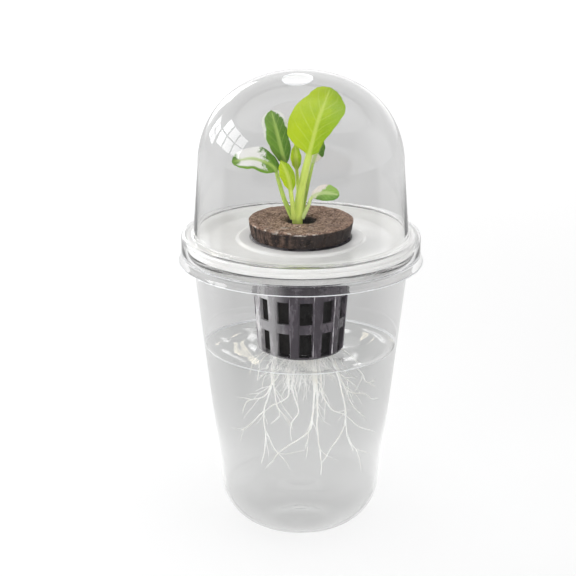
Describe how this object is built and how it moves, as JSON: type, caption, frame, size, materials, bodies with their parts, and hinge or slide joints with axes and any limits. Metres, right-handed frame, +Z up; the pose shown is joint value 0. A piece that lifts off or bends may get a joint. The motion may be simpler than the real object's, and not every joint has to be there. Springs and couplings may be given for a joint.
{
  "type": "hydroponic propagation cup",
  "caption": "Clear tapered water cup with a white planting disc, a slotted black net pot, a brown grow plug with a rooted seedling, and a clear vented dome lid.",
  "frame": {"origin": "middle of the cup's standing ring, on the surface it stands on", "axes": "+Z up along the axis of the cup and the dome, -Y towards the viewer of the picture, +X to that viewer's right"},
  "size_m": [0.1054, 0.1054, 0.2032],
  "materials": {
    "clear_plastic": "clear, glossy",
    "white_plastic": "white, satin gloss",
    "black_plastic": "black, glossy",
    "grow_plug": "damp peat, rough",
    "leaf_lime": "leaf, satin",
    "leaf_green": "leaf, satin",
    "roots": "white roots, damp"
  },
  "bodies": {
    "cup": {"cup": "clear_plastic"},
    "disc": {"planting_disc": "white_plastic"},
    "pot": {"net_pot": "black_plastic", "grow_plug": "grow_plug", "seedling_stem": "leaf_lime", "leaf_large": "leaf_lime", "leaf_upright": "leaf_green", "leaf_left": "leaf_green", "leaf_young_front": "leaf_lime", "leaf_young_curled": "leaf_lime", "leaf_small_right": "leaf_green", "leaf_back_right": "leaf_green", "roots": "roots"},
    "dome": {"dome_lid": "clear_plastic"}
  },
  "joints": [
    {"name": "disc_lift", "type": "slide", "parent": "cup", "child": "disc", "axis": [0, 0, 1], "range_m": [0, 0.105]},
    {"name": "pot_lift", "type": "slide", "parent": "disc", "child": "pot", "axis": [0, 0, 1], "range_m": [0, 0.11], "deforming": ["roots"]},
    {"name": "dome_lift", "type": "slide", "parent": "pot", "child": "dome", "axis": [0, 0, 1], "range_m": [0, 0.09]}
  ]
}
